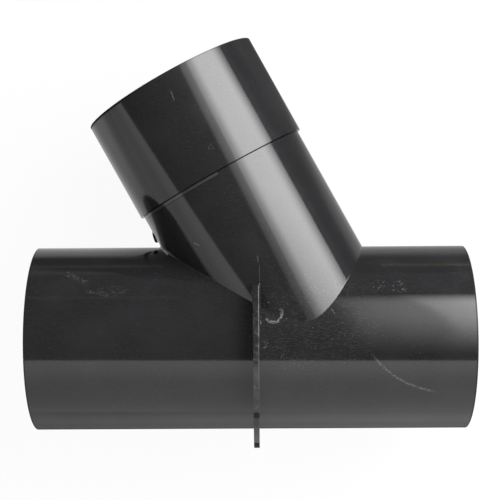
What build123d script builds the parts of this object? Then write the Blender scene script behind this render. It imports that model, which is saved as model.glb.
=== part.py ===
"""Lateral wye for drain pipe: a straight run with a branch that joins it at 61 degrees.

The fitting is one injection moulding in black plastic. Three plain sockets take pipe ends of the
same size: one at each end of the run and one in the wider collar at the end of the branch. A thin
rib stands round the run where the two halves of the mould meet, and stops square on the branch.

Frame: the origin is the centre of the run's outlet mouth. +X points out of that mouth, +Y is the
side that the branch leans to, and the run and the branch both lie in the XY plane. Millimetres.
"""

from build123d import *
import math
import os

# ---- Driving dimensions -------------------------------------------------------------------------
pipe_diameter = 160.0  # outside of the plain pipe that each socket takes
socket_clearance = 0.2  # gap all round between that pipe and its socket
socket_depth = 91.0  # from a mouth to the stop that the pipe's end meets
socket_wall = 3.8  # wall of the run and of the branch's collar

run_length = 392.0  # mouth to mouth
outlet_to_crossing = 139.0  # from the outlet mouth to where the two centrelines cross
branch_angle = 61.0  # between the centrelines, in degrees
crossing_to_mouth = 268.5  # from the crossing to the branch's mouth

collar_length = 95.0  # wider stretch at the end of the branch, outside
collar_step = 2.7  # drop from the collar's outside to the branch tube's
branch_wall = 3.7  # wall of the branch tube between the collar and the run

stop_height = 3.0  # how far the ring stops in the run stand in from the bore
stop_width = 4.0  # length of each ring along the run

rib_from_outlet = 191.0  # from the outlet mouth to the middle of the rib
rib_height = 17.5  # how far the rib stands out of the run
rib_thickness = 5.1

mouth_rounding = 0.9  # outer edge of each mouth
mouth_lead_in = 0.4  # inner edge of each mouth
collar_rounding = 1.3  # outer corner of the step at the collar's lower end
collar_root = 0.5  # inner corner of the same step
rib_rounding = 0.7  # two edges of the rib's rim
rib_root = 1.2  # fillet where the rib leaves the run
rib_stop = 53.0  # how far toward the branch the rib goes, from the run's centreline
crease_fillet = 1.5  # along the lines where the branch meets the run and the rib

# ---- Sizes that follow --------------------------------------------------------------------------
socket_radius = pipe_diameter / 2 + socket_clearance
outer_radius = socket_radius + socket_wall
stop_radius = socket_radius - stop_height
rib_radius = outer_radius + rib_height

tube_radius = outer_radius - collar_step
tube_bore_radius = tube_radius - branch_wall
collar_start = crossing_to_mouth - collar_length
branch_stop = crossing_to_mouth - socket_depth

overrun = 2.0  # how far a cutting shape runs past the face that it opens

# ---- Centrelines --------------------------------------------------------------------------------
crossing = Vector(-outlet_to_crossing, 0, 0)
branch_direction = Vector(
    -math.cos(math.radians(branch_angle)),
    math.sin(math.radians(branch_angle)),
    0,
)
branch_axis = Axis(crossing, branch_direction)
# Sketches of the branch run along its centreline (x) and out from it (y).
branch_plane = Plane(origin=crossing, x_dir=branch_direction, z_dir=(0, 0, 1))


def corners_at(sketch, *places):
    """The corners of a sketch that stand at the given points."""
    return [
        corner
        for corner in sketch.vertices()
        if any((corner.center() - Vector(*place)).length < 1e-3 for place in places)
    ]


def from_branch(place):
    """How far a point stands from the branch's centreline."""
    reach = place - crossing
    return (reach - branch_direction * reach.dot(branch_direction)).length


# ---- Half sections, each revolved about its centreline ------------------------------------------
# Outside of the run: a plain tube with the rib standing on it.
rib_low = -rib_from_outlet - rib_thickness / 2
rib_high = -rib_from_outlet + rib_thickness / 2
with BuildSketch(Plane.XY) as run_outside:
    with BuildLine():
        Polyline(
            (0, 0),
            (0, outer_radius),
            (rib_high, outer_radius),
            (rib_high, rib_radius),
            (rib_low, rib_radius),
            (rib_low, outer_radius),
            (-run_length, outer_radius),
            (-run_length, 0),
            close=True,
        )
    make_face()
    fillet(
        corners_at(run_outside.sketch, (0, outer_radius), (-run_length, outer_radius)),
        mouth_rounding,
    )
    fillet(
        corners_at(run_outside.sketch, (rib_low, outer_radius), (rib_high, outer_radius)),
        rib_root,
    )
    fillet(
        corners_at(run_outside.sketch, (rib_low, rib_radius), (rib_high, rib_radius)),
        rib_rounding,
    )

# Outside of the branch: the tube, then the step out to the collar.
with BuildSketch(Plane.XY) as branch_outside:
    with BuildLine():
        Polyline(
            (0, 0),
            (0, tube_radius),
            (collar_start, tube_radius),
            (collar_start, outer_radius),
            (crossing_to_mouth, outer_radius),
            (crossing_to_mouth, 0),
            close=True,
        )
    make_face()
    fillet(corners_at(branch_outside.sketch, (collar_start, outer_radius)), collar_rounding)
    fillet(corners_at(branch_outside.sketch, (collar_start, tube_radius)), collar_root)
    fillet(
        corners_at(branch_outside.sketch, (crossing_to_mouth, outer_radius)),
        mouth_rounding,
    )

# Inside of the run: a socket from each mouth to its ring stop, and the plain bore between them.
# Each ring is sloped on the side that faces the middle, so that solids slide over it.
far_stop = -run_length + socket_depth
with BuildSketch(Plane.XY) as run_inside:
    with BuildLine():
        Polyline(
            (overrun, 0),
            (overrun, socket_radius + mouth_lead_in + overrun),
            (mouth_lead_in, socket_radius + mouth_lead_in + overrun),
            (0, socket_radius + mouth_lead_in),
            (-mouth_lead_in, socket_radius),
            (-socket_depth, socket_radius),
            (-socket_depth, stop_radius),
            (-socket_depth - stop_width, stop_radius),
            (-socket_depth - stop_width - stop_height, socket_radius),
            (far_stop + stop_width + stop_height, socket_radius),
            (far_stop + stop_width, stop_radius),
            (far_stop, stop_radius),
            (far_stop, socket_radius),
            (-run_length + mouth_lead_in, socket_radius),
            (-run_length, socket_radius + mouth_lead_in),
            (-run_length - mouth_lead_in, socket_radius + mouth_lead_in + overrun),
            (-run_length - overrun, socket_radius + mouth_lead_in + overrun),
            (-run_length - overrun, 0),
            close=True,
        )
    make_face()

# Inside of the branch: the tube's bore, then the shoulder that stops the pipe in the collar.
with BuildSketch(Plane.XY) as branch_inside:
    with BuildLine():
        Polyline(
            (0, 0),
            (0, tube_bore_radius),
            (branch_stop, tube_bore_radius),
            (branch_stop, socket_radius),
            (crossing_to_mouth - mouth_lead_in, socket_radius),
            (crossing_to_mouth, socket_radius + mouth_lead_in),
            (crossing_to_mouth + overrun, socket_radius + mouth_lead_in + overrun),
            (crossing_to_mouth + overrun, 0),
            close=True,
        )
    make_face()

# What is cut away from the rib past its square ends, outside of the run.
with BuildPart() as past_rib:
    with Locations((-rib_from_outlet, rib_stop + rib_radius / 2, 0)):
        Box(rib_thickness + 2 * rib_root + 0.4, rib_radius, 2 * rib_radius + overrun)
    with Locations((-rib_from_outlet, 0, 0)):
        Cylinder(outer_radius, 4 * rib_thickness, rotation=(0, 90, 0), mode=Mode.SUBTRACT)

# ---- The moulding -------------------------------------------------------------------------------
with BuildPart() as wye_body:
    revolve(run_outside.sketch, axis=Axis.X)
    add(past_rib.part, mode=Mode.SUBTRACT)
    revolve(branch_plane * branch_outside.sketch, axis=branch_axis)
    # Every curved edge on the branch tube that is not a circle is where it meets the run or the rib.
    crease = [
        edge
        for edge in wye_body.edges()
        if edge.geom_type not in (GeomType.LINE, GeomType.CIRCLE)
        and abs(from_branch(edge @ 0.4) - tube_radius) < 0.01
        and abs(from_branch(edge @ 0.7) - tube_radius) < 0.01
    ]
    fillet(crease, radius=crease_fillet)
    revolve(run_inside.sketch, axis=Axis.X, mode=Mode.SUBTRACT)
    revolve(branch_plane * branch_inside.sketch, axis=branch_axis, mode=Mode.SUBTRACT)
wye_body.part.label = "wye_body"

os.makedirs("parts", exist_ok=True)
export_step(wye_body.part, "parts/wye_body.step")
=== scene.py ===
# %% [markdown]
# # A lateral wye for drain pipe, finished for a close look
#
# The CAD model already holds every size of this moulding, so nothing here moves or reshapes it.
# What is left is what makes a solid look like glossy black plastic: a skin smooth enough to carry
# a clean reflection, a finish with the marks of handling, a sliver of moulding flash, and a room
# for the plastic to mirror.

import bpy
import numpy as np
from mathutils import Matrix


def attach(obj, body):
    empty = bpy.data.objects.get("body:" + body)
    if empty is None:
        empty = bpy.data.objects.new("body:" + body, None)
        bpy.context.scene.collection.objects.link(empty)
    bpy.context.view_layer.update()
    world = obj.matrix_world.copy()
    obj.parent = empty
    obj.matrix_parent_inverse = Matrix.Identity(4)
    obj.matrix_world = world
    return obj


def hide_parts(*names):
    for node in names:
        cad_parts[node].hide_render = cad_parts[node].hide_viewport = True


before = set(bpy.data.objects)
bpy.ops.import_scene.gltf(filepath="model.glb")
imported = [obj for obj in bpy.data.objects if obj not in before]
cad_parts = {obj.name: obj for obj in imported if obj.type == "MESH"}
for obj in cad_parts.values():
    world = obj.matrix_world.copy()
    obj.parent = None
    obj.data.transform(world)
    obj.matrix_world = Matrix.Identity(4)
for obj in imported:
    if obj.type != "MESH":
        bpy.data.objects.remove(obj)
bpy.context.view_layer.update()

cad_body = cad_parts["wye_body"]

# %% [markdown]
# ## The two centrelines
#
# A pipe fitting is set out from its centrelines. Here the run lies along X with its outlet mouth at
# the origin, and the branch crosses it 139 mm behind that mouth at 61 degrees. Places on the branch
# are told along its own line and beside it, as a fitter would measure them, and all the others in
# the frame's own X and Y. Both are in metres.

# %% Centrelines and sizes
LEAN = np.radians(61.0)
AXES = np.array([[1.0, 0.0, 0.0], [-np.cos(LEAN), np.sin(LEAN), 0.0]])
CROSSING = np.array([-0.139, 0.0, 0.0])
RUN, BRANCH = 0, 1
RUN_LENGTH = 0.392
OUTER_RADIUS = 0.084  # of the run and of the collar
RIB_RADIUS = 0.1015
RIB_X = -0.191
COLLAR_START = 0.1735
MOUTH = 0.2685
FLOOR_HEIGHT = -RIB_RADIUS


def along_and_out(points, axis):
    """How far along an axis each point is, how far out from it, and the unit direction outward.

    Along is the dot product of the axis with the vector from the crossing to the point. Outward is
    what is left of that vector when the part along the axis is taken away.
    """
    reach = points - CROSSING
    along = reach @ AXES[axis]
    outward = reach - along[..., None] * AXES[axis]
    out = np.linalg.norm(outward, axis=-1)
    return along, out, outward / np.maximum(out, 1e-9)[..., None]


print("the branch's mouth is centred at", np.round(CROSSING + MOUTH * AXES[BRANCH], 4))

# %% [markdown]
# ## A skin that reflects without facets
#
# A CAD model reaches Blender as flat triangles, a few degrees apart round each pipe. A matt part
# would hide that, but gloss shows every flat as a kink in the reflection. Nearly all faces of this
# moulding are turned about one of the two centrelines, so the true surface is known exactly. Each
# triangle is sorted by the kind of surface it came from, split into smaller ones whose new corners
# are pushed out to the true radius, and given the true surface direction at each corner.

# %% Read the triangles of the CAD body
MERGE_WITHIN = 4e-6  # corners that round to the same multiple of this, in metres, are one corner

mesh = cad_body.data
places = np.empty(len(mesh.vertices) * 3)
mesh.vertices.foreach_get("co", places)
to_frame = np.array(cad_body.matrix_world)
places = places.reshape(-1, 3) @ to_frame[:3, :3].T + to_frame[:3, 3]
mesh.calc_loop_triangles()
corners = np.empty(len(mesh.loop_triangles) * 3, dtype=np.int32)
mesh.loop_triangles.foreach_get("vertices", corners)
_, keep, same_as = np.unique(np.round(places / MERGE_WITHIN).astype(np.int64), axis=0,
                             return_index=True, return_inverse=True)
points = places[keep]
triangles = same_as.reshape(-1)[corners].reshape(-1, 3)
whole = np.all(triangles != np.roll(triangles, -1, axis=1), axis=1)
triangles = triangles[whole]
print("corners", len(places), "merged to", len(points), "triangles", len(triangles))


# %% Sort the triangles by the kind of surface
def face_normals(points, triangles):
    """The cross product of two edges of each triangle, divided by its own length."""
    a, b, c = (points[triangles[:, i]] for i in range(3))
    normals = np.cross(b - a, c - a)
    return normals / np.maximum(np.linalg.norm(normals, axis=1), 1e-15)[:, None]


BARREL, FLAT, ROUND, BLEND = 0, 1, 2, 3
ONE_RADIUS = 3e-5  # a barrel's triangle has its corners equally far out, to within this in metres
STRAIGHT = 0.02  # largest cosine between a barrel's normal and its axis
SQUARE_ON = 0.9995  # least cosine between a flat face's normal and its axis
NO_TWIST = 0.06  # a turned face's normal leans no more than this round the axis

normals = face_normals(points, triangles)
middles = points[triangles].mean(axis=1)
owner = np.full(len(triangles), -1)
kind = np.full(len(triangles), BLEND)
steadiest = np.full(len(triangles), np.inf)
for axis in (RUN, BRANCH):
    _, out, _ = along_and_out(points[triangles], axis)
    spread = np.ptp(out, axis=1)
    lean = np.abs(normals @ AXES[axis])
    barrel = (spread < ONE_RADIUS) & (lean < STRAIGHT) & (spread < steadiest)
    owner[barrel] = axis
    kind[barrel] = BARREL
    steadiest[barrel] = spread[barrel]
for axis in (RUN, BRANCH):
    flat = (owner < 0) & (np.abs(normals @ AXES[axis]) > SQUARE_ON)
    owner[flat] = axis
    kind[flat] = FLAT
least = np.full(len(triangles), NO_TWIST)
for axis in (RUN, BRANCH):
    _, _, outward = along_and_out(middles, axis)
    round_it = np.cross(AXES[axis], outward)
    slip = np.abs(np.einsum("ij,ij->i", normals, round_it))
    turned = (slip < least) & ((owner < 0) | (kind == ROUND))
    owner[turned] = axis
    kind[turned] = ROUND
    least[turned] = slip[turned]
for name, value in (("barrel", BARREL), ("flat", FLAT), ("rounded", ROUND), ("blend", BLEND)):
    print(name, "triangles:", int((kind == value).sum()))

# %% Split the triangles and push new corners out to the true radius
SPLITS = 2  # each split turns one triangle into four
LEVEL = 2e-5  # only an edge whose ends are equally far out, to within this in metres, is moved
PASSES = 8  # a corner that lies beside both pipes is moved to each in turn, this often


def split_once(points, triangles, owner, kind):
    """Each triangle becomes four. A new corner starts halfway along its edge and is then moved
    straight out from the axis of every turned surface beside that edge, until its distance from
    the axis is the mean distance of the two ends.
    """
    edges = np.stack([triangles, np.roll(triangles, -1, axis=1)], axis=2).reshape(-1, 2)
    pairs, edge_of = np.unique(np.sort(edges, axis=1), axis=0, return_inverse=True)
    edge_of = edge_of.reshape(-1)
    middles = points[pairs].mean(axis=1)
    beside = np.zeros((2, len(pairs)), dtype=bool)
    for axis in (RUN, BRANCH):
        _, out, _ = along_and_out(points[pairs], axis)
        turned = np.repeat((owner == axis) & (kind != BLEND), 3)
        beside[axis, edge_of[turned]] = True
        beside[axis] &= np.abs(out[:, 0] - out[:, 1]) < LEVEL
    for _ in range(PASSES):
        for axis in (RUN, BRANCH):
            _, ends, _ = along_and_out(points[pairs], axis)
            _, out, outward = along_and_out(middles, axis)
            short = (ends.mean(axis=1) - out)[:, None] * outward
            middles = np.where(beside[axis][:, None], middles + short, middles)
    new = (len(points) + edge_of).reshape(-1, 3)
    a, b, c = triangles.T
    ab, bc, ca = new.T
    split = np.concatenate([np.stack(t, axis=1) for t in
                            ((a, ab, ca), (ab, b, bc), (ca, bc, c), (ab, bc, ca))])
    return np.concatenate([points, middles]), split, np.tile(owner, 4), np.tile(kind, 4)


for _ in range(SPLITS):
    points, triangles, owner, kind = split_once(points, triangles, owner, kind)
print("triangles in the finished skin:", len(triangles))

# %% Work out the true direction of the surface at every corner
SAME_BEND = 0.55  # past this cosine a corner's mean direction still belongs to its own face


def corner_normals(points, triangles, owner, kind):
    """One direction for each corner of each triangle.

    On a barrel it points straight out from the axis, or straight in on a bore. On a flat face it
    lies along the axis. On a rounded edge it is the mean of the rounded faces that meet there.
    """
    faces = face_normals(points, triangles)
    sides = np.repeat(faces[:, None, :], 3, axis=1)
    soft = (kind == ROUND) | (kind == BLEND)
    total = np.zeros_like(points)
    for corner in range(3):
        np.add.at(total, triangles[soft, corner], faces[soft])
    total /= np.maximum(np.linalg.norm(total, axis=1), 1e-12)[:, None]
    mean = total[triangles]
    near = np.einsum("ijk,ijk->ij", mean, sides) > SAME_BEND
    result = np.where((soft[:, None] & near)[:, :, None], mean, sides)
    for axis in (RUN, BRANCH):
        _, _, outward = along_and_out(points[triangles], axis)
        facing = np.sign(np.einsum("ijk,ijk->ij", outward, sides))[:, :, None]
        barrel = ((kind == BARREL) & (owner == axis))[:, None, None]
        result = np.where(barrel, outward * facing, result)
        flat = ((kind == FLAT) & (owner == axis))[:, None, None]
        result = np.where(flat, np.sign(sides @ AXES[axis])[:, :, None] * AXES[axis], result)
    return result


directions = corner_normals(points, triangles, owner, kind)
agreement = np.einsum("ijk,ik->ij", directions, face_normals(points, triangles))
print("least agreement of a corner with its own triangle:", round(float(agreement.min()), 3))

# %% Make the skin and let it stand for the CAD body
skin = bpy.data.meshes.new("wye_moulding")
skin.vertices.add(len(points))
skin.vertices.foreach_set("co", points.reshape(-1))
skin.loops.add(len(triangles) * 3)
skin.loops.foreach_set("vertex_index", triangles.reshape(-1).astype(np.int32))
skin.polygons.add(len(triangles))
skin.polygons.foreach_set("loop_start", np.arange(0, len(triangles) * 3, 3, dtype=np.int32))
skin.polygons.foreach_set("use_smooth", np.ones(len(triangles), dtype=bool))
skin.update(calc_edges=True)
skin.validate()
skin.normals_split_custom_set(directions.reshape(-1, 3).tolist())
moulding = bpy.data.objects.new("wye_moulding", skin)
bpy.context.scene.collection.objects.link(moulding)
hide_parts("wye_body")
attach(moulding, "root")
print("the moulding has", len(skin.polygons), "faces")

# %% [markdown]
# ## Black moulded plastic
#
# The fitting is black polypropylene or PVC, injected into a polished steel mould, so the skin is
# close to a black mirror: it gives back four or five hundredths of the light straight on and nearly
# all of it at a glancing angle. The marks on it are masks: numbers from 0 to 1 over the surface,
# worked out by nodes from the place in metres. Masks are made first and turned to colour, gloss and
# relief at the end, so that one scratch can be paler, duller and deeper at once.


# %% Colours and nodes
def plain_colour(code):
    """An sRGB hex colour as linear red, green, blue and 1: each part is divided by 255, then put
    through the sRGB curve, which is a straight line near black and a power of 2.4 above it."""
    parts = np.array([int(code[i:i + 2], 16) for i in (1, 3, 5)]) / 255
    linear = np.where(parts <= 0.04045, parts / 12.92, ((parts + 0.055) / 1.055) ** 2.4)
    return (*linear.tolist(), 1.0)


def add_node(tree, kind, settings=None, inputs=None):
    """Adds one node. Settings are the node's own options. Each input takes a number, a colour or
    an output of another node, which is then linked."""
    node = tree.nodes.new(kind)
    for name, value in (settings or {}).items():
        setattr(node, name, value)
    for name, value in (inputs or {}).items():
        if isinstance(value, bpy.types.NodeSocket):
            tree.links.new(value, node.inputs[name])
        else:
            node.inputs[name].default_value = value
    return node


print("the plastic's own black is", np.round(plain_colour("#1e1e1f")[:3], 4), "in linear light")


# %% Arithmetic on what a material reads
def joined(operation, *values):
    """The values combined from left to right by one operation. At least one of them is a node's
    output, and the new nodes go into the same tree. A single value is changed by itself."""
    tree = next(value for value in values if isinstance(value, bpy.types.NodeSocket)).id_data
    result = values[0]
    for value in values[1:] or [0.0]:
        result = add_node(tree, "ShaderNodeMath", {"operation": operation},
                          {0: result, 1: value}).outputs[0]
    return result


def times(*values):
    """The product of the values."""
    return joined("MULTIPLY", *values)


def plus(*values):
    """The sum of the values."""
    return joined("ADD", *values)


def minus(first, second):
    """The first value less the second."""
    return joined("SUBTRACT", first, second)


def largest(*values):
    """The largest of the values, which lays several masks over each other."""
    return joined("MAXIMUM", *values)


def unsigned(value):
    """The value without its sign."""
    return joined("ABSOLUTE", value)


def distance(across, along):
    """The square root of the sum of the squares."""
    return joined("SQRT", plus(times(across, across), times(along, along)))


def rise(value, low, high, start=0.0, end=1.0, shape="SMOOTHSTEP"):
    """start at low and beyond, end at high and beyond, and a rise between. low may be the larger of
    the two, and the value is then followed downward."""
    return add_node(value.id_data, "ShaderNodeMapRange", {"interpolation_type": shape}, {
        "Value": value, "From Min": low, "From Max": high, "To Min": start, "To Max": end}).outputs[0]


def between(value, low, high, soft=0.002):
    """1 between low and high, with soft ends: a rise at low times 1 less a rise at high."""
    return times(rise(value, low - soft, low + soft),
                 minus(1.0, rise(value, high - soft, high + soft)))


# %% Start the plastic and read the place on it
plastic = bpy.data.materials.new("black_plastic_gloss")
plastic.use_nodes = True
skin.materials.append(plastic)
tree = plastic.node_tree
shader = tree.nodes["Principled BSDF"]
where = add_node(tree, "ShaderNodeTexCoord").outputs["Object"]
x, y, z = add_node(tree, "ShaderNodeSeparateXYZ", inputs={0: where}).outputs

run_out = distance(y, z)  # how far from the run's centreline
from_crossing = plus(x, -float(CROSSING[0]))
along = plus(times(from_crossing, -float(np.cos(LEAN))), times(y, float(np.sin(LEAN))))
aside = plus(times(from_crossing, float(np.sin(LEAN))), times(y, float(np.cos(LEAN))))
off_branch = unsigned(aside)
upper = rise(z, 0.0, 0.01)  # most marks lie on the half that faces up
print("the plastic reads its place with", len(tree.nodes), "nodes")


# %% Shapes that marks are made of, all seen from above
def cloud(per_metre, detail, stretch=(1, 1, 1), turn=0.0):
    """Noise with that many patches along a metre, longer along an axis whose stretch is under 1,
    and turned about the vertical."""
    turned = add_node(tree, "ShaderNodeVectorRotate", {"rotation_type": "Z_AXIS"},
                      {"Vector": where, "Angle": turn}).outputs[0]
    spread = add_node(tree, "ShaderNodeVectorMath", {"operation": "MULTIPLY"},
                      {0: turned, 1: stretch}).outputs[0]
    return add_node(tree, "ShaderNodeTexNoise", inputs={
        "Vector": spread, "Scale": per_metre, "Detail": detail}).outputs[0]


def thin(off, width):
    """1 where a distance is under 0.3 of the width, falling to 0 at the width."""
    return rise(times(off, -1.0), -width, -width * 0.3)


def arc(cx, cy, radius, width):
    """A thin ring: the distance from its centre less its radius is nearly 0."""
    return thin(unsigned(minus(distance(minus(x, cx), minus(y, cy)), radius)), width)


def scratch(x0, y0, x1, y1, width):
    """A thin straight line between two ends: along it is the dot product with its direction, and
    off it is the cross product."""
    length = float(np.hypot(x1 - x0, y1 - y0))
    ux, uy = (x1 - x0) / length, (y1 - y0) / length
    dx, dy = minus(x, x0), minus(y, y0)
    on = plus(times(dx, ux), times(dy, uy))
    off = unsigned(minus(times(dx, uy), times(dy, ux)))
    return times(between(on, 0.0, length, 0.001), thin(off, width))


def spot(cx, cy, half_x, half_y):
    """An oval that is 1 in its middle and 0 at its edge, where the sum of the squares of the place
    divided by the half widths reaches 1."""
    dx = joined("DIVIDE", minus(x, cx), half_x)
    dy = joined("DIVIDE", minus(y, cy), half_y)
    return minus(1.0, rise(plus(times(dx, dx), times(dy, dy)), 0.3, 1.0))


# %% [markdown]
# ## The marks of handling
#
# A drain fitting is stacked, dragged and thrown about before it is sold. The longest mark here is a
# curved scratch on the run near the outlet. Others are a curled scuff at the junction, two dusty
# smears at the inlet end, and small scribbles as if another fitting had rubbed. Each has its own
# place, and a fine noise breaks it up, because a real scratch skips along the surface.

# %% Scratches, smears and scuffs
BREAK_PER_METRE = 700  # a scratch skips every 1.4 mm
SCRIBBLE_PER_METRE = 800  # strokes 1.2 mm wide and about 8 mm long
SMEAR_PER_METRE = 520  # smeared dust in grains of 2 mm

broken = rise(cloud(BREAK_PER_METRE, 3), 0.38, 0.62)
scribble = largest(rise(cloud(SCRIBBLE_PER_METRE, 1, (0.16, 1, 1), -0.65), 0.60, 0.68),
                   rise(cloud(SCRIBBLE_PER_METRE, 1, (0.16, 1, 1), 0.75), 0.64, 0.72))
scratches = largest(
    scratch(-0.2631, 0.2204, -0.2597, 0.2109, 0.0005),
    scratch(-0.2445, 0.0890, -0.2405, 0.0870, 0.0008),
    scratch(-0.1262, 0.0323, -0.1229, 0.0272, 0.0003),
    scratch(-0.1693, -0.0067, -0.1693, -0.0093, 0.0004),
    scratch(-0.1870, 0.0217, -0.1870, 0.0183, 0.0005),
    times(arc(-0.0230, 0.0431, 0.0850, 0.0014), between(x, -0.0890, -0.0378, 0.004), 0.40),
    times(arc(-0.2287, 0.1710, 0.0019, 0.0006), 0.35))
smears = largest(
    times(scratch(-0.3587, 0.0626, -0.3381, 0.0540, 0.0030), 0.8),
    times(scratch(-0.3392, 0.0476, -0.3180, 0.0436, 0.0022), 0.8),
    times(spot(-0.3165, 0.0476, 0.0170, 0.0060), 0.30))
# The curl shows only below the slanting line y = 0.7 x + 0.1519.
open_side = rise(minus(plus(times(x, 0.7), 0.1519), y), -0.001, 0.003)
scuffs = largest(
    times(arc(-0.1759, 0.0278, 0.0072, 0.0018), 1.4, open_side),
    times(spot(-0.1712, 0.0301, 0.0050, 0.0050), scribble, 0.5),
    times(spot(-0.1824, 0.0003, 0.0035, 0.0050), scribble, 0.6),
    times(spot(-0.0827, 0.0514, 0.0080, 0.0055), scribble, 0.8),
    times(spot(-0.0654, 0.0500, 0.0100, 0.0065), scribble, 0.8))
patchy = rise(cloud(SMEAR_PER_METRE, 3, (0.5, 1, 1)), 0.35, 0.7)
marked = times(largest(scratches, times(scuffs, 0.6), times(smears, 0.42, patchy)), upper, broken)
print("nodes up to the scuffs:", len(tree.nodes))

# %% Haze, dust and fine scratches
HAZE_PER_METRE = 26  # clouds of haze 40 mm wide
DUST_PER_METRE = 1000  # specks up to 1 mm wide: real dust is finer and would not show
FINE_PER_METRE = 1100  # rubbed lines 0.9 mm wide and 4 mm long: real ones are finer, as dust is

haze = rise(cloud(HAZE_PER_METRE, 6), 0.42, 0.80)
worn = plus(0.28, times(spot(-0.145, 0.018, 0.07, 0.05), 0.72))  # most wear is at the junction
dust = times(rise(cloud(DUST_PER_METRE, 1), 0.725, 0.77), worn, upper)
fine = times(largest(rise(cloud(FINE_PER_METRE, 3, (0.2, 1, 1)), 0.48, 0.80),
                     times(rise(cloud(FINE_PER_METRE, 3, (1, 0.25, 1)), 0.55, 0.80), 0.6)),
             worn, upper)
print("nodes up to the dust:", len(tree.nodes))

# %% [markdown]
# ## The marks of the mould, and painted light on them
#
# Some lines look as if they come from making the part. Faint streaks lie along the run, as hot
# plastic leaves where it flows. The rib stands prouder than all else: its rim has a pale edge that is
# partly wear and partly a painted highlight, and darker bands, the lowest a painted dark reflection.
# Below the collar two dark lines of painted shade run along the crease, with a pale strip of painted
# highlight between them, and the three mouths have a dull edge. A broken hairline runs on beside the
# rib and up the branch, as a parting line would, with a painted highlight along it. All of them are
# masks too, with no shape of their own.

# %% The rib's rim
CHIP_PER_METRE = 90  # the pale edge comes and goes every 11 mm
RUB_PER_METRE = 200  # rubbed patches 5 mm long
RIM_MARKS_END = 0.0538  # where the marks on the rim stop, in Y

rim = times(between(run_out, RIB_RADIUS - 0.0005, RIB_RADIUS + 0.0006, 0.0002),
            between(x, RIB_X - 0.004, RIB_X + 0.004),
            rise(minus(RIM_MARKS_END, y), 0.0, 0.0004))
# The rib's edge toward the right is tinted pale, more so toward the top: partly wear, partly a painted
# highlight.
rim_edge_wear_and_highlight = times(rim, rise(x, RIB_X + 0.0017, RIB_X + 0.0021),
                 rise(cloud(CHIP_PER_METRE, 2), 0.3, 0.5),
                 plus(0.26, times(rise(y, -0.03, 0.012), 0.74)))
rim_scuff = times(rim, rise(cloud(RUB_PER_METRE, 2), 0.35, 0.70), upper, rise(y, 0.042, 0.020))
# Darker bands on the rib's rim. The lowest, at the bottom, is a painted dark reflection.
rim_dark_bands = times(rim, largest(rise(y, -0.0890, -0.0906),
                              times(between(y, -0.0628, -0.0570, 0.0008), 0.75),
                              times(between(y, -0.0726, -0.0628, 0.0008), 0.30)))
print("nodes up to the rib's rim:", len(tree.nodes))

# %% Streaks, painted shade and highlight below the collar, and mouths
on_run = rise(off_branch, OUTER_RADIUS - 0.001, OUTER_RADIUS + 0.002)
streak = times(largest(between(y, 0.0675, 0.0691, 0.0014),
                       times(between(y, 0.0412, 0.0428, 0.0014), 0.5)), on_run, upper)
# Two dark lines of painted shade along the crease under the collar's step, the lower one on the left half
# only.
left_half = rise(aside, -0.0005, -0.0015)
lower_painted_shade_line = times(between(along, COLLAR_START - 0.0042, COLLAR_START - 0.0036, 0.0003), left_half, 0.6)
crease_painted_shade = times(largest(between(along, COLLAR_START - 0.0010, COLLAR_START - 0.0001, 0.0002), lower_painted_shade_line),
                upper, rise(off_branch, OUTER_RADIUS + 0.004, OUTER_RADIUS + 0.001))
# A pale strip between the two dark lines: a painted highlight, where a rounded edge would catch the
# light.
bead_painted_highlight = times(between(along, COLLAR_START - 0.0034, COLLAR_START - 0.0010, 0.0004),
             between(aside, -0.0745, -0.0011, 0.0006), upper)
LIP_FROM, LIP_TO = 0.0014, 0.0009  # the trimmed edge, measured back from a mouth
lip = largest(times(rise(x, -LIP_FROM, -LIP_TO), 0.7),
              times(rise(x, LIP_FROM - RUN_LENGTH, LIP_TO - RUN_LENGTH), 0.7),
              times(rise(along, MOUTH - LIP_FROM, MOUTH - LIP_TO), 0.25),
              times(rise(along, MOUTH - 0.0024, MOUTH - 0.0016), rise(aside, 0.0, -0.04)))
# A nick by the branch's lower-left corner, tinted almost white: a painted glint on it.
nick_painted_glint = times(scratch(-0.2755, 0.0818, -0.2706, 0.0784, 0.0009), upper)
print("nodes up to the mouths:", len(tree.nodes))

# %% The hairline
# The hairline is a raised line, and its pale tint is a painted highlight along it.
hairline_and_painted_highlight = times(largest(times(between(x, RIB_X + 0.00145, RIB_X + 0.00205, 0.0002),
                               between(y, 0.0722, 0.0778, 0.0012)),
                         times(between(x, RIB_X + 0.00278, RIB_X + 0.00338, 0.0002),
                               between(y, 0.0509, 0.0690, 0.0020), 0.75)), upper)
print("nodes up to the hairline:", len(tree.nodes))

# %% [markdown]
# ## Colour, gloss and relief
#
# Now the masks do their work. Colours are laid over each other like thin coats of dirt, and some of
# the coats are painted highlight and painted shade. Gloss is very high, and drops only where
# something has rubbed. Relief is shallow: a moulded wall sinks by hundredths of a millimetre over a
# few centimetres, which is enough to bend a long reflection, and its orange peel is finer still.

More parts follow.
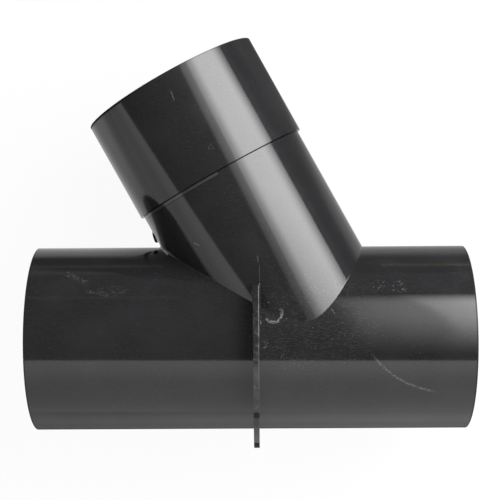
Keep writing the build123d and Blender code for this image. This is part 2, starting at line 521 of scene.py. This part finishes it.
# %% Colour
coats = (
    (times(haze, 0.02), "#8a8d90"),  # grey bloom
    (times(streak, 0.10), "#6a6248"),  # brownish flow lines
    (times(fine, 0.055), "#a8aaaa"),  # rubbed plastic turns pale
    (times(dust, 0.34), "#b4b4b0"),
    (times(rim_scuff, 0.05), "#a8a8a6"),
    (times(rim_edge_wear_and_highlight, 0.25), "#c4c4c0"),  # partly wear, partly painted highlight
    # painted highlight below the collar
    (times(bead_painted_highlight, 0.07), "#b0b0b0"),
    # painted highlight along the hairline
    (times(hairline_and_painted_highlight, 0.10), "#b0b0b0"),
    (times(marked, 0.42), "#b0b0ac"),
    # painted glint on the nick
    (times(nick_painted_glint, 0.90), "#e4e4e0"),
    # Painted shade in the crease below the collar, and darker bands on the rib's rim, the lowest of them
    # a painted dark reflection.
    (largest(crease_painted_shade, rim_dark_bands), "#0c0c0c"),  # painted shade, and dark bands on the rib
)
black = plain_colour("#1e1e1f")
for amount, colour in coats:
    black = add_node(tree, "ShaderNodeMix", {"data_type": "RGBA"}, {
        "Factor": amount, 6: black, 7: plain_colour(colour)}).outputs[2]
tree.links.new(black, shader.inputs["Base Color"])
print("coats over the black:", len(coats))

# %% Gloss
POLISHED = 0.085  # roughness of the plastic where nothing touched it
PLASTIC_IOR = 1.50  # near that of polypropylene and of PVC

rubbed = times(largest(marked, rim_scuff, lip, rim_edge_wear_and_highlight), 0.22)
tree.links.new(plus(POLISHED, times(haze, 0.02), rubbed), shader.inputs["Roughness"])
tree.links.new(minus(0.5, times(largest(crease_painted_shade, rim_dark_bands, lip), 0.49)),
               shader.inputs["Specular IOR Level"])
shader.inputs["IOR"].default_value = PLASTIC_IOR
print("roughness from", POLISHED, "up to", POLISHED + 0.02 + 0.22)

# %% Relief
relief = (
    (0.00009, cloud(22, 1)),  # sink marks 45 mm wide, under a tenth of a millimetre deep
    (0.000004, cloud(420, 2)),  # orange peel 2.4 mm wide, thousandths of a millimetre deep
    (0.00012, hairline_and_painted_highlight),  # the parting line stands up a tenth of a millimetre
)
bumped = None
for depth, height in relief:
    inputs = {"Strength": 1.0, "Distance": depth, "Height": height}
    if bumped is not None:
        inputs["Normal"] = bumped
    bumped = add_node(tree, "ShaderNodeBump", inputs=inputs).outputs[0]
tree.links.new(bumped, shader.inputs["Normal"])
print("nodes in the plastic:", len(tree.nodes))

# %% [markdown]
# ## Flash in the sharp corner
#
# Where the two halves of the mould meet, a little plastic creeps out. It shows best in the sharp
# corner between the branch and the run, as a torn flap no thicker than card. It is the one thing
# here with a shape that the CAD body lacks, so it is a mesh of its own: an outline of seven corners,
# and the same outline again half a millimetre lower.

# %% The flap of flash
FLASH_THICKNESS = 0.0005
flash_top = np.array([(-0.2868, 0.0994, 0.0040), (-0.2865, 0.0957, 0.0040),
                      (-0.2853, 0.0915, 0.0040), (-0.2840, 0.0887, 0.0040),
                      (-0.2809, 0.0887, 0.0100), (-0.2823, 0.0924, 0.0130),
                      (-0.2843, 0.0961, 0.0120)])
flash_points = np.concatenate([flash_top, flash_top - (0.0, 0.0, FLASH_THICKNESS)])
count = len(flash_top)
flash_faces = [list(range(count - 1, -1, -1)), list(range(count, 2 * count))]
flash_faces += [[i, (i + 1) % count, (i + 1) % count + count, i + count] for i in range(count)]
flash_mesh = bpy.data.meshes.new("mould_flash")
flash_mesh.from_pydata(flash_points.tolist(), [], flash_faces)
flash = bpy.data.objects.new("mould_flash", flash_mesh)
bpy.context.scene.collection.objects.link(flash)
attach(flash, "root")
print("flash is", round(1000 * FLASH_THICKNESS, 2), "mm thick")

# %% Torn plastic
# The same black plastic, but torn and not moulded: it is rough all over, so it mirrors nothing and
# looks almost as dark as a hole.
torn = bpy.data.materials.new("torn_plastic")
torn.use_nodes = True
torn_inputs = torn.node_tree.nodes["Principled BSDF"].inputs
torn_inputs["Base Color"].default_value = plain_colour("#0a0a0a")
torn_inputs["Roughness"].default_value = 0.9
torn_inputs["Specular IOR Level"].default_value = 0.1
flash_mesh.materials.append(torn)
print("the flash is finished in", torn.name)

# %% [markdown]
# ## A room for the plastic to mirror
#
# A black mirror shows the room, not the lamp's light on it, so the room is what gets built: a pale
# floor, one big softbox to the right that steps up in brightness, a dim pale panel toward the near
# side, and dim grey beyond. The long bright strip down the branch is the softbox in the plastic.


# %% Helpers for the room
def sheet_object(name, corners, faces, material):
    """A flat-sided sheet from its corners, which is part of the room and not of the fitting."""
    sheet = bpy.data.meshes.new(name)
    sheet.from_pydata(corners, [], faces)
    sheet.materials.append(material)
    holder = bpy.data.objects.new(name, sheet)
    bpy.context.scene.collection.objects.link(holder)
    return holder


def bare_material(name):
    """A material with nothing in it but its output, and the place on the sheet that it reads."""
    material = bpy.data.materials.new(name)
    material.use_nodes = True
    material.node_tree.nodes.clear()
    out = add_node(material.node_tree, "ShaderNodeOutputMaterial")
    place = add_node(material.node_tree, "ShaderNodeTexCoord").outputs["Object"]
    parts = add_node(material.node_tree, "ShaderNodeSeparateXYZ", inputs={0: place}).outputs
    return material, out, parts


# %% Floor
def floor_in_the_plastic(x, y):
    """How bright the plastic finds the floor: a slope from dark to pale toward the near side, less
    a painted shadow along the near side of the run, plus paler patches on its far side, left of the
    branch and past the inlet. All of it grows toward the right, and is dimmed past the outlet."""
    # A painted shadow on the floor along the near side of the run, as the plastic mirrors it.
    off_strip = unsigned(plus(y, 0.13))
    painted_contact_shadow = largest(rise(off_strip, 0.0, 0.20, 0.55, 0.0), rise(off_strip, 0.005, 0.035, 0.85, 0.0))
    painted_contact_shadow = times(painted_contact_shadow, rise(x, -0.52, -0.42))
    toward_near = rise(times(y, -1.0), -0.30, 0.45, 0.08, 0.95, "LINEAR")
    beyond = times(rise(y, 0.0, 0.08), rise(y, 0.19, 0.27, 1.0, 0.0),
                   rise(x, -0.10, 0.02, 0.25, 0.18))
    past_end = times(rise(x, -0.62, -0.46, 0.4, 0.0), rise(y, -0.60, -0.10))
    at_left = times(rise(x, -0.37, -0.27, 1.0, 0.0), rise(y, -0.12, 0.03),
                    rise(y, 0.20, 0.28, 1.0, 0.0), 0.42)
    dim_at_right = times(rise(x, 0.06, 0.20, 0.0, 0.75), rise(y, -0.50, -0.15))
    lit = times(rise(x, -0.45, 0.0, 0.72, 1.05), minus(1.0, dim_at_right))
    return times(plus(times(toward_near, minus(1.0, painted_contact_shadow)), beyond, past_end, at_left), lit)


def pale_floor():
    """Matt white paper. The camera sees it almost evenly white, with a trace of the shadow left
    near the fitting, and the plastic sees the brightness that floor_in_the_plastic gives."""
    material, out, (x, y, z) = bare_material("pale_floor")
    tree = material.node_tree
    path = add_node(tree, "ShaderNodeLightPath").outputs
    matt = add_node(tree, "ShaderNodeBsdfDiffuse", inputs={"Color": plain_colour("#ededed")})
    white = add_node(tree, "ShaderNodeEmission", inputs={"Strength": 1.0})
    grey = add_node(tree, "ShaderNodeEmission", inputs={
        "Color": floor_in_the_plastic(x, y), "Strength": 1.0})
    evenly = rise(distance(x, y), 0.6, 1.5, 0.94, 1.0)
    shown = add_node(tree, "ShaderNodeMixShader", inputs={
        0: evenly, 1: matt.outputs[0], 2: white.outputs[0]})
    to_camera = add_node(tree, "ShaderNodeMixShader", inputs={
        0: path["Is Camera Ray"], 1: matt.outputs[0], 2: shown.outputs[0]})
    to_gloss = add_node(tree, "ShaderNodeMixShader", inputs={
        0: path["Is Glossy Ray"], 1: to_camera.outputs[0], 2: grey.outputs[0]})
    tree.links.new(to_gloss.outputs[0], out.inputs["Surface"])
    return material


HALF_FLOOR = 4
floor = sheet_object("floor", [(-HALF_FLOOR, -HALF_FLOOR, FLOOR_HEIGHT),
                               (HALF_FLOOR, -HALF_FLOOR, FLOOR_HEIGHT),
                               (HALF_FLOOR, HALF_FLOOR, FLOOR_HEIGHT),
                               (-HALF_FLOOR, HALF_FLOOR, FLOOR_HEIGHT)], [(0, 1, 2, 3)], pale_floor())
print("the floor lies at", FLOOR_HEIGHT, "m")


# %% Softbox and pale panel
def lit_cloth(name, strength_at):
    """Cloth with a lamp behind it, as strong at each place as strength_at(x, y, z) says."""
    material, out, place = bare_material(name)
    lamp = add_node(material.node_tree, "ShaderNodeEmission", inputs={"Strength": strength_at(*place)})
    material.node_tree.links.new(lamp.outputs[0], out.inputs["Surface"])
    return material


SOFTBOX_FULL = 11.0  # strength where every rise is complete


def softbox_strength(x, y, z):
    """Three slow rises and one sharp step from the left edge, times a fall toward both ends and
    toward the lower edge."""
    rises = plus(rise(x, -0.06, 0.0, 0.02, 0.17), rise(x, 0.0, 0.09, 0.0, 0.06),
                 rise(x, 0.120, 0.138, 0.0, 0.25), rise(x, 0.13, 0.40, 0.0, 0.52))
    return times(rises, rise(y, -0.32, 0.62), rise(y, 0.9, 1.6, 1.0, 0.0),
                 rise(z, 0.22, 0.60, 0.25, 1.0), SOFTBOX_FULL)


def panel_strength(x, y, z):
    """Dim, half as bright again along the top edge, and a little brighter toward the right."""
    return times(rise(z, 0.36, 0.57, 1.0, 1.5), rise(x, -0.9, 0.2, 0.85, 1.1))


softbox_corners = [(right, far, up) for right, up in ((-0.15, 0.96), (0.35, 0.96), (1.05, 0.28))
                   for far in (-0.4, 1.65)]
softbox = sheet_object("softbox", softbox_corners, [(0, 1, 3, 2), (2, 3, 5, 4)],
                       lit_cloth("softbox_cloth", softbox_strength))
panel_corners = [(-3.2, -0.21, 0.58), (-0.45, -0.21, 0.58), (1.1, -0.30, 0.58),
                 (1.1, -1.0, -0.13), (-0.45, -1.0, -0.13), (-3.2, -1.0, -0.13)]
panel = sheet_object("pale_panel", panel_corners, [(0, 1, 4, 5), (1, 2, 3, 4)],
                     lit_cloth("panel_cloth", panel_strength))
for lamp in (softbox, panel):
    lamp.visible_camera = False
    print(lamp.name, "spans", tuple(round(v, 2) for v in lamp.dimensions), "m")

# %% Everything beyond the lamps
world = bpy.context.scene.world or bpy.data.worlds.new("room")
bpy.context.scene.world = world
world.use_nodes = True
world.node_tree.nodes.clear()
seen = add_node(world.node_tree, "ShaderNodeLightPath").outputs["Is Camera Ray"]
walls = add_node(world.node_tree, "ShaderNodeMix", {"data_type": "RGBA"}, {
    "Factor": seen, 6: plain_colour("#727274"), 7: (1.0, 1.0, 1.0, 1.0)}).outputs[2]
backdrop = add_node(world.node_tree, "ShaderNodeBackground", inputs={"Color": walls, "Strength": 1.0})
add_node(world.node_tree, "ShaderNodeOutputWorld", inputs={"Surface": backdrop.outputs[0]})
print("the camera sees white beyond the lamps, and the plastic sees dim grey walls")

# %% [markdown]
# ## Camera
#
# The camera hangs over the fitting, 1.1 m above the plane of its centrelines, and looks almost
# straight down with a long lens. It is tilted one degree, as a hand-set tripod arm would be.

# %% Camera
HEIGHT = 1.1055
camera_data = bpy.data.cameras.new("camera")
camera_data.sensor_width = 36.0
camera_data.lens = 85.73
camera_data.clip_end = 20.0
camera = bpy.data.objects.new("camera", camera_data)
bpy.context.scene.collection.objects.link(camera)
camera.location = (-0.1884, 0.1042, HEIGHT)
camera.rotation_euler = np.radians((-1.194, 0.409, -0.350)).tolist()
bpy.context.scene.camera = camera
bpy.context.scene.view_settings.view_transform = "Standard"
print("lens", round(camera_data.lens, 1), "mm")
